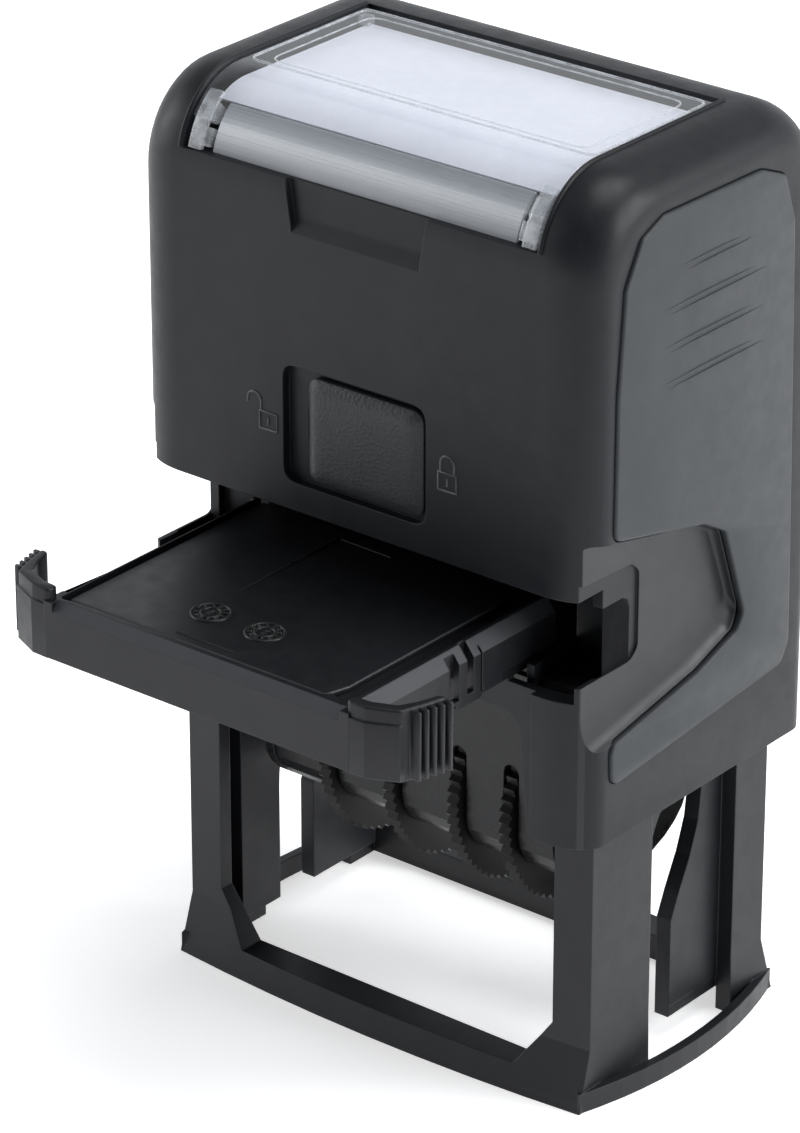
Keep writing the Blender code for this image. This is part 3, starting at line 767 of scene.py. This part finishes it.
def open_front(hood):
    """The openings for the cartridge, the dater, the window and the lock."""
    lock_recess = rounded([(-10.3, 68.4), (9.9, 68.4), (9.9, 82.5), (-10.3, 82.5)], 1.9)
    cut(
        hood,
        box("drawer_opening", (-SILL_X - 1, -25, TRAY_LOW - GAP), (SILL_X + 1, -17.0, DRAWER_HIGH)),
        box("corner_opening", (-40, -25, FINGER_LOW), (40, CORNER_BACK, DRAWER_HIGH)),
        box("front_recess", (-WINDOW_X, -25, 30), (WINDOW_X, -20.7, DRAWER_HIGH - 5)),
        plate("front_arch", "Y", arch(), -26, -17),
        plate("back_arch", "Y", arch(), 17, 26),
        box("window_opening", (-WINDOW_X, -25, WINDOW_LOW), (WINDOW_X, WINDOW_BACK, 120)),
        plate("lock_recess", "Y", lock_recess, -25, -20.6),
        box("lock_slot", (-7.5, -25, 73.6), (4.5, -15, 77.4)),
        finger_notch(),
    )


def paint_scoops(hood):
    """Give the faces of the scoops a lighter copy of the hood's plastic: painted light for how their upturned
    faces catch the lamps.
    """
    hood.data.materials.append(LIT_SCOOP)
    floor_x, skin_x = HOOD_X - SCOOP_DEPTH - 0.1, HOOD_X - 0.02
    for face in hood.data.polygons:
        x, y, z = abs(face.center.x) / MM, face.center.y / MM - SHIFT_Y, face.center.z / MM
        if floor_x < x < skin_x and -21 < y < 7.2 and 45 < z < 74.5:
            face.material_index = 1


def add_hood():
    """The outer cap with its openings, the recess round each side panel and the scoops for the fingers."""
    hood = hood_block("hood_skin", HOOD_X, HOOD_Y, HOOD_TOP, HOOD_ROUND, BAND, HOOD_BOTTOM)
    inside = hood_block(
        "inside", HOOD_X - WALL, HOOD_Y - WALL, HOOD_TOP - WALL, HOOD_ROUND - WALL, (5.6, 2.8, 4.1), 30
    )
    cut(hood, inside)
    for side, _ in SIDES:
        open_side(hood, side)
    open_front(hood)
    for side, _ in SIDES:
        join(hood, side_box("drawer_guide", side, 21.9, 22.9, (-18.9, -10.0), (51.2, 54.6)))
    smooth(hood, 30)
    dress(hood, HOOD, "hood", ["hood_shell"])
    paint_scoops(hood)


def grown(outline, by):
    """An outline moved outwards by about the same distance all round."""
    count = len(outline)
    corners = [Vector(point) for point in outline]
    area = sum(corners[i - 1].cross(corners[i]) for i in range(count))
    turn = 1 if area > 0 else -1
    result = []
    for i, here in enumerate(corners):
        along = (here - corners[i - 1]).normalized() + (corners[(i + 1) % count] - here).normalized()
        along.normalize()
        result.append((here.x + turn * along.y * by, here.y - turn * along.x * by))
    return result


def add_panels():
    """The raised panel on each side, with four pairs of fine grip ridges."""
    ridges = [(-6.5, 6.6, 99.9, 0), (-9.6, 9.4, 95.6, 1), (-9.6, 8.9, 91.2, 1), (-9.8, 9.1, 87.0, 1)]
    outline = rounded(panel_outline(), 1.5, 4)
    for side, word in SIDES:
        panel = side_plate("side_panel_" + word, side, outline, PANEL_IN, PANEL_OUT, edge=0.28)
        smooth(panel, 50)
        dress(panel, PANEL, "hood")
        shapes = []
        for start, end, z, paired in ridges:
            shapes.append(ridge(side, start, end - 2.2, z + 0.25, 0.42))
            shapes.append(ridge(side, start + 1.0, end, z - 0.45, 0.3))
        grip = merge("grip_ridges_" + word, shapes)
        smooth(grip, 60)
        dress(grip, PANEL, "hood")


def ridge(side, start, end, z, width):
    """A low ridge, thickest in the middle and running out at both ends."""
    sections = []
    steps = 14
    for i in range(steps + 1):
        t = i / steps
        swell = max(0.02, math.sin(math.pi * t) ** 0.8)
        y = start + (end - start) * t
        half = width / 2 * swell
        low, rise = PANEL_OUT - 0.1, 0.2 * swell
        ring = [
            (low, -1.0), (PANEL_OUT + rise * 0.4, -0.8), (PANEL_OUT + rise, 0.1),
            (PANEL_OUT + rise * 0.7, 0.7), (low, 1.0),
        ]
        sections.append([(side * x, y, z + half * across) for x, across in ring])
    return loft("ridge", sections)


def window_arc(radius, low_z=WINDOW_LOW):
    """Points about the hood's rounded top front edge, from low on the front to the top."""
    low = math.degrees(math.asin((low_z - ROUND_CENTRE[1]) / radius))
    return arc(ROUND_CENTRE, radius, 180 - low, 90, 12)


def add_window_rim():
    """The thin raised rim along each side of the window and round its front corners."""
    paths = []
    for side, _ in SIDES:
        x = side * (WINDOW_X + 0.32)
        line = [(x, y, z) for y, z in window_arc(HOOD_ROUND - 0.02)]
        paths.append(line + [(x, WINDOW_BACK, HOOD_TOP - 0.02)])
    rim = tube("window_rim", paths, 0.3)
    smooth(rim, 60)
    dress(rim, HOOD, "hood")


def bent_outline(outer, inner, back, low):
    """The side view of a plate that follows the hood's top and its rounded front edge."""
    top = ROUND_CENTRE[1]
    outline = window_arc(outer, low) + [(back, top + outer), (back, top + inner)]
    return outline + window_arc(inner, low)[::-1]


def ring_part(outer, inner, start, end, steps):
    """The side view of a piece of a ring about the middle of the hood's rounded front edge."""
    return arc(ROUND_CENTRE, outer, start, end, steps) + arc(ROUND_CENTRE, inner, end, start, steps)


def border(half_x, front, back, corner, z):
    """A closed rectangular path with round corners on the cover's top."""
    corners = [(-half_x, front), (half_x, front), (half_x, back), (-half_x, back)]
    return [[(x, y, z) for x, y in rounded(corners, corner)]]


def add_window_cover():
    """The clear cover: a bent pane with a raised border, lugs at the front ends and pegs at the back."""
    half_x = WINDOW_X - GAP
    fittings = (
        ("lug_low", ring_part(9.35, 7.9, 163, 150, 4), 21.4, 24.0),
        ("lug_high", ring_part(9.35, 8.1, 146, 132, 4), 21.8, 23.6),
        ("strap", ring_part(9.75, 9.15, 166, 124, 8), 22.2, 24.1),
    )
    parts = []
    for side, _ in SIDES:
        for name, outline, x_in, x_out in fittings:
            parts.append(side_plate(name, side, outline, x_in, x_out, edge=0.12))
        parts.append(side_box("peg", side, 23.0, 24.3, (8.6, 9.9), (110.2, 111.2)))
    top = HOOD_TOP - 0.2
    parts.append(tube("border", border(half_x - 0.5, -11.0, 9.6, 1.4, top), 0.16, cyclic=True))
    parts.append(tube("step", border(half_x - 2.4, -9.8, 8.2, 1.8, top - 0.05), 0.1, cyclic=True))
    edges = merge("window_cover_edges", parts)
    smooth(edges, 30)
    # The border, lugs and pegs carry a painted highlight in their milky white.
    dress(edges, CLEAR_EDGE_GLINT, "window")

    side_view = bent_outline(HOOD_ROUND - 0.15, 9.3, WINDOW_BACK - 0.9, 107.6)
    pane = plate("window_cover_clear", "X", side_view, -half_x, half_x)
    smooth(pane, 30)
    dress(pane, CLEAR, "window", ["window_cover"])


def add_window_inside():
    """The frosted strip along the window's front and the card behind it."""
    strip = plate("frosted_front_strip", "X", ring_part(9.0, 7.5, 168, 128, 14), -STRIP_X, STRIP_X)
    smooth(soften(strip, 0.25, 3, 50), 50)
    apply_modifiers(strip)
    dress(strip, FROST, "hood", ["window_front_strip"])

    outline = arc(ROUND_CENTRE, 8.1, 124, 90, 8) + [(9.8, 110.1), (9.8, 109.8)]
    outline += arc(ROUND_CENTRE, 7.8, 90, 124, 8)
    card = plate("card_sheet", "X", outline, -CARD_X, CARD_X)
    smooth(card, 40)
    dress(card, CARD, "hood", ["imprint_card"])


def padlock(name, x, z, open_shackle):
    """A small generic padlock drawn in raised lines on the hood's front."""
    y = -HOOD_Y
    body = [(x - 1.25, y, z - 2.2), (x + 1.25, y, z - 2.2), (x + 1.25, y, z - 0.1), (x - 1.25, y, z - 0.1)]
    shift = -2.0 if open_shackle else 0.0
    shackle = [(x + shift - 0.95, y, z + (0.5 if open_shackle else 0.0))]
    shackle += [(x + shift + u, y, z + 1.0 + v) for u, v in arc((0, 0), 0.95, 180, 0, 10)]
    shackle.append((x + shift + 0.95, y, z))
    keyhole = [(x, y, z - 0.7), (x, y, z - 1.6)]
    outline = tube(name + "_body", [body + [body[0]]], 0.14)
    lines = tube(name + "_lines", [shackle, keyhole], 0.14)
    icon = merge(name, [outline, lines])
    smooth(icon, 60)
    dress(icon, ICON, "hood")


def add_lock():
    """The slider: a domed, bevelled pad with a coarse grain, and its stem through the slot."""
    outline = rounded([(-6.7, 69.2), (9.4, 69.2), (9.4, 81.7), (-6.7, 81.7)], 1.5)
    profile = ((-20.9, 0.0), (-21.45, 0.0), (-21.75, 0.35), (-22.05, 0.95), (-22.15, 1.35), (-22.18, 2.2))
    centre = Vector((1.35, 75.45))
    half = Vector((8.05, 6.25))
    sections = []
    for y, shrink in profile:
        ring = []
        for corner in outline:
            out = Vector(corner) - centre
            x = centre.x + out.x * (1 - shrink / half.x)
            ring.append((x, y, centre.y + out.y * (1 - shrink / half.y)))
        sections.append(ring)
    button = loft("lock_slider", sections)
    join(button, box("lock_stem", (-3.7, -21.2, 74.2), (3.9, -18.7, 76.8)))
    smooth(button, 40)
    dress(button, BUTTON, "lock", ["lock_button"])


# Cartridge

def grip_outline(side):
    """A hooked finger grip, in plan, a little thinner where its ribs stand."""
    points = [(21.0, -48.9), (23.6, -48.75), (27.1, -47.2), (27.9, -44.9), (28.8, -41.5), (27.8, -41.5)]
    points += [(26.9, -44.2), (25.9, -46.1), (23.2, -47.2), (21.0, -47.3)]
    return rounded([(side * x, y) for x, y in points], 0.7, 3)


def slope_rims(tray):
    """Bevel the right and left rails and the front rim."""
    x = TRAY_X
    right = [(x - 1.7, 60.9), (x + 1, 61.5), (x + 1, 58.6), (x + 0.1, 58.6)]
    left = [(-x - 1, 61.5), (-x + 0.9, 61.5), (-x, 59.6), (-x - 1, 59.4)]
    front = [(-50, 60.9), (-47.7, 60.5), (-49.12, 59.1), (-50, 59.0)]
    cut(tray, plate("rail_slope_right", "Y", right, RAIL_FRONT, -10))
    cut(tray, plate("rail_slope_left", "Y", left, RAIL_FRONT, -10))
    cut(tray, plate("front_slope", "X", front, -20.4, 20.4))


def notch_rails(tray):
    """The steps under the right rail, its notches, and the channel along the left one."""
    x = TRAY_X
    for start, end, high in ((-43.0, -30.9, 54.0), (-26.5, -22.9, 54.0), (-22.9, -10.0, 55.0)):
        outline = [(start, 50), (start, high), (end, high), (end, 50)]
        cut(tray, side_plate("low_step", 1, outline, x - 0.5, x + 1))
    cut(
        tray,
        side_box("wide_notch", 1, x - 0.9, x + 1, (-32.1, -30.4), (54.4, 62)),
        side_box("slot", 1, x - 1.5, x + 1, (-29.0, -27.9), (54.6, 62)),
        side_box("gap_line", 1, x - 0.6, x + 1, (-26.7, -26.4), (54.0, 62)),
        side_box("left_channel", -1, x - 0.75, x - 0.15, (RAIL_FRONT, -14.5), (58.6, 62)),
    )


def add_tray():
    """The cartridge's case: hollow below, with a rimmed top and bevelled side rails."""
    x = TRAY_X
    tray = box("cartridge_case", (-x, TRAY_FRONT, TRAY_LOW), (x, TRAY_BACK, TRAY_HIGH))
    cut(tray, box("inside", (-20.7, TRAY_FRONT + 0.9, 50), (20.7, TRAY_BACK - 0.9, 58.9)))
    cut(tray, box("back_edge", (-20.7, TRAY_BACK - 2, 50), (20.7, TRAY_BACK + 1, 55.5)))
    sunk = [(-x + 0.9, -47.6), (-x + 3.0, -47.3), (x - 5.0, -47.3), (x - 4.4, -46.3), (x - 2.2, -47.9)]
    sunk += [(x - 1.7, -47.9), (x - 1.7, -10), (-x + 0.9, -10)]
    cut(tray, plate("sunk_top", "Z", rounded(sunk, 0.6, 3), 59.3, 62))
    slope_rims(tray)
    notch_rails(tray)
    smooth(soften(tray, 0.22, 2, 30), 30)
    apply_modifiers(tray)
    dress(tray, TRAY, "cartridge", ["cartridge_tray"])


def add_lid():
    """The plate sunk in the cartridge's top."""
    x = TRAY_X
    outline = [(-x + 1.5, -46.6), (x - 5.2, -46.6), (x - 4.4, -43.6), (x - 4.4, -13.8), (-x + 1.5, -13.8)]
    lid = plate("cartridge_top_plate", "Z", rounded(outline, 0.5, 3), 59.2, LID_TOP, edge=0.2)
    smooth(lid, 50)
    dress(lid, TRAY, "cartridge")


def grip_rib(side, number):
    """One of the upright ribs along a grip's outer face."""
    y = -46.1 + number * 1.02
    x = 28.1 + 0.24 * (y + 46.1)
    rib = side_box("rib", side, x - 1.0, x + 0.6, (y, y + 0.46), (WING_LOW + 0.2, WING_HIGH - 0.2))
    return soften(rib, 0.12)


def add_grips():
    """The hooked grips at the cartridge's front corners, each with five ribs and a step under its top."""
    plan = ((21.3, -49.1), (23.6, -49.0), (27.2, -47.4), (27.2, -46.8), (21.3, -48.1))
    for side, word in SIDES:
        parts = [plate("grip", "Z", grip_outline(side), WING_LOW, WING_HIGH, edge=0.25)]
        parts += [grip_rib(side, i) for i in range(5)]
        step = [(side * x, y) for x, y in plan][::side]
        parts.append(plate("step", "Z", step, WING_LOW + 0.2, WING_HIGH - 1.7, edge=0.1))
        for part in parts:
            apply_modifiers(part)
        grip = merge("cartridge_grip_" + word, parts)
        smooth(grip, 40)
        dress(grip, GRIP, "cartridge")


def add_cartridge_marks():
    """Two small moulded dials and plain raised lines on the cartridge's top."""
    top = LID_TOP
    parts = []
    for cx, cy in ((-5.8, -39.4), (1.9, -39.4)):
        for radius in (2.2, 1.15):
            ring = [(cx + u, cy + v, top) for u, v in arc((0, 0), radius, 0, 350, 35)]
            parts.append(tube("dial", [ring], 0.2, cyclic=True))
        ticks = []
        for u, v in arc((0, 0), 1.0, 0, 330, 11):
            ticks.append([(cx + u * 1.4, cy + v * 1.4, top), (cx + u * 1.9, cy + v * 1.9, top)])
        ticks.append([(cx, cy - 0.7, top), (cx, cy + 0.7, top)])
        ticks.append([(cx, cy + 0.7, top), (cx + 0.4, cy + 0.2, top)])
        parts.append(tube("ticks", ticks, 0.2, sides=1))
    lines = [[(-5.8, -45.2, top), (2.3, -45.2, top)], [(-6.9, -32.9, top), (-7.1, -16.0, top)]]
    lines.append([(-6.8, -16.0, top), (0.6, -16.2, top)])
    parts.append(tube("lines", lines, 0.14))
    marks = merge("cartridge_marks", parts)
    smooth(marks, 60)
    dress(marks, MARKS, "cartridge")


def add_felt():
    """The ink pad: a felt block with soft edges and a slightly crowned underside."""
    low, high = (corner.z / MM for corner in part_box("ink_pad"))
    bm = bmesh.new()
    bmesh.ops.create_grid(bm, x_segments=34, y_segments=28, size=1.0)
    for vert in bm.verts:
        u, v = vert.co.x, vert.co.y
        rim = max(abs(u), abs(v))
        crown = 1 - max(0.0, (rim - 0.9) / 0.1) ** 2
        z = low + 0.35 + 0.3 * (1 - crown) - 0.3 * (1 - u * u) * (1 - v * v)
        vert.co = Vector((u * 20.2, v * 16.4 - 31.3, z))
    faces = bmesh.ops.extrude_face_region(bm, geom=list(bm.faces))
    for item in faces["geom"]:
        if isinstance(item, bmesh.types.BMVert):
            item.co.z = high
    bmesh.ops.recalc_face_normals(bm, faces=bm.faces)
    pad = from_bmesh("felt_ink_pad", bm)
    smooth(soften(pad, 0.3, 2, 50), 50)
    apply_modifiers(pad)
    dress(pad, FELT, "cartridge", ["ink_pad"])


def add_cartridge():
    """The ink cartridge: its case, top plate, grips, marks and ink pad."""
    add_tray()
    add_lid()
    add_grips()
    add_cartridge_marks()
    add_felt()


# Springs

def coil(side):
    """Points along a return spring's wire."""
    low = GUIDE_TOP + GAP
    count = SPRING_TURNS * TURN_POINTS
    path = []
    for i in range(count + 1):
        angle = 2 * math.pi * i / TURN_POINTS
        x = side * SPRING_X + SPRING_RADIUS * math.cos(angle)
        y = SPRING_Y + SPRING_RADIUS * math.sin(angle)
        path.append((x, y, low + (SPRING_TOP - low) * (i / count)))
    return path


def add_springs():
    """The return springs, coiled between the base's guides and the hood's ceiling."""
    for side, word in SIDES:
        spring = tube("coil_spring_" + word, [coil(side)], WIRE_RADIUS, sides=3)
        smooth(spring, 60)
        dress(spring, STEEL, "base", ["return_spring_" + word])
        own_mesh(spring)


# CAD nodes that keep their shape

def dress_nodes():
    """Materials and rounded edges for the CAD nodes that are shown as they are."""
    looks = {
        "base_frame": (BASE, 0.25), "yoke_bracket": (INNER, 0.3), "card_bed": (INNER, 0.15),
        "lock_latch": (INNER, 0.2), "dater_cover": (DATER, 0.15), "cradle_end_left": (DATER, 0.2),
        "cradle_end_right": (DATER, 0.2), "pivot_crank_left": (INNER, 0.1), "pivot_crank_right": (INNER, 0.1),
        "wheel_axle": (STEEL, 0.15), "band_platen": (INNER, 0.2), "die_plate": (INNER, 0.15),
        "text_die": (DIE_RUBBER, 0.12),
    }
    for number in range(1, 5):
        looks["date_wheel_%d" % number] = (WHEEL, 0.06)
        looks["date_band_%d" % number] = (BAND_RUBBER, 0.12)
    for name, (material, width) in looks.items():
        node = NODES[name]
        paint_node(node, material)
        soften(node, width)


# Stage

def add_stage():
    """A plain pale floor with the object on it, soft lights and the camera."""
    bm = bmesh.new()
    bmesh.ops.create_grid(bm, x_segments=1, y_segments=1, size=4000.0)
    floor = from_bmesh("floor", bm)
    floor.location.z = -0.00002
    n = Nodes("floor_look")
    n.shader.inputs["Base Color"].default_value = (0.92, 0.92, 0.93, 1.0)
    n.shader.inputs["Roughness"].default_value = 0.9
    n.shader.inputs["Specular IOR Level"].default_value = 0.0
    n.shader.inputs["Emission Color"].default_value = (1.0, 1.0, 1.0, 1.0)
    n.shader.inputs["Emission Strength"].default_value = FLOOR_GLOW
    floor.data.materials.append(n.material)

    add_world()
    add_light("key_light", (0.90, 0.40, 0.50), 0.6, 9.0)
    add_light("side_fill", (-0.95, -0.40, 0.35), 0.6, 4.0)
    add_light("top_light", (0.25, 0.25, 1.2), 0.7, 9.0)
    add_camera()
    bpy.context.scene.view_settings.view_transform = "Standard"


def add_world():
    """A white studio that is darker on the side where the photographer stands."""
    world = bpy.data.worlds.new("studio")
    bpy.context.scene.world = world
    world.use_nodes = True
    tree = world.node_tree
    where = tree.nodes.new("ShaderNodeTexCoord")
    dark = facing(tree, where.outputs["Generated"], DARK_SIDE, -0.1, 0.75, WORLD_BRIGHT, WORLD_DARK)
    high = facing(tree, where.outputs["Generated"], (0, 0, 1), 0.35, 0.75, 1.0, WORLD_HIGH)
    both = tree.nodes.new("ShaderNodeMath")
    both.operation = "MULTIPLY"
    tree.links.new(dark, both.inputs[0])
    tree.links.new(high, both.inputs[1])
    background = tree.nodes["Background"]
    background.inputs["Color"].default_value = (0.93, 0.965, 1.0, 1.0)
    tree.links.new(both.outputs["Value"], background.inputs["Strength"])


def facing(tree, direction, towards, start, end, away, near):
    """A value that goes smoothly from away to near as the direction turns towards another."""
    dot = tree.nodes.new("ShaderNodeVectorMath")
    dot.operation = "DOT_PRODUCT"
    dot.inputs[1].default_value = towards
    tree.links.new(direction, dot.inputs[0])
    fall = tree.nodes.new("ShaderNodeMapRange")
    fall.interpolation_type = "SMOOTHSTEP"
    fall.inputs["From Min"].default_value = start
    fall.inputs["From Max"].default_value = end
    fall.inputs["To Min"].default_value = away
    fall.inputs["To Max"].default_value = near
    tree.links.new(dot.outputs["Value"], fall.inputs["Value"])
    return fall.outputs["Result"]


def add_light(name, place, size, power):
    """A square soft light that faces the object, in metres and watts."""
    data = bpy.data.lights.new(name, "AREA")
    data.size = size
    data.energy = power
    lamp = bpy.data.objects.new(name, data)
    bpy.context.scene.collection.objects.link(lamp)
    lamp.location = place
    lamp.rotation_mode = "QUATERNION"
    lamp.rotation_quaternion = (Vector(LIGHT_TARGET) - Vector(place)).to_track_quat("-Z", "Y")


def add_camera():
    """The camera at the photograph's angle."""
    yaw, pitch = math.radians(CAMERA_YAW), math.radians(CAMERA_PITCH)
    back = Vector((math.sin(yaw) * math.cos(pitch), -math.cos(yaw) * math.cos(pitch), math.sin(pitch)))
    target = Vector(CAMERA_TARGET) + Vector((0, SHIFT_Y, 0))
    data = bpy.data.cameras.new("camera")
    data.lens = CAMERA_LENS
    data.sensor_width = 36.0
    data.sensor_fit = "AUTO"
    data.clip_start = 0.01
    data.clip_end = 20.0
    camera = bpy.data.objects.new("camera", data)
    bpy.context.scene.collection.objects.link(camera)
    camera.location = (target + back * CAMERA_DISTANCE) * MM
    camera.rotation_mode = "QUATERNION"
    camera.rotation_quaternion = (-back).to_track_quat("-Z", "Y")
    bpy.context.scene.camera = camera


add_hood()
add_panels()
add_window_rim()
add_window_cover()
add_window_inside()
padlock("padlock_open", -12.4, 76.0, True)
padlock("padlock_closed", 12.9, 75.8, False)
add_lock()
add_cartridge()
add_springs()
dress_nodes()
add_stage()
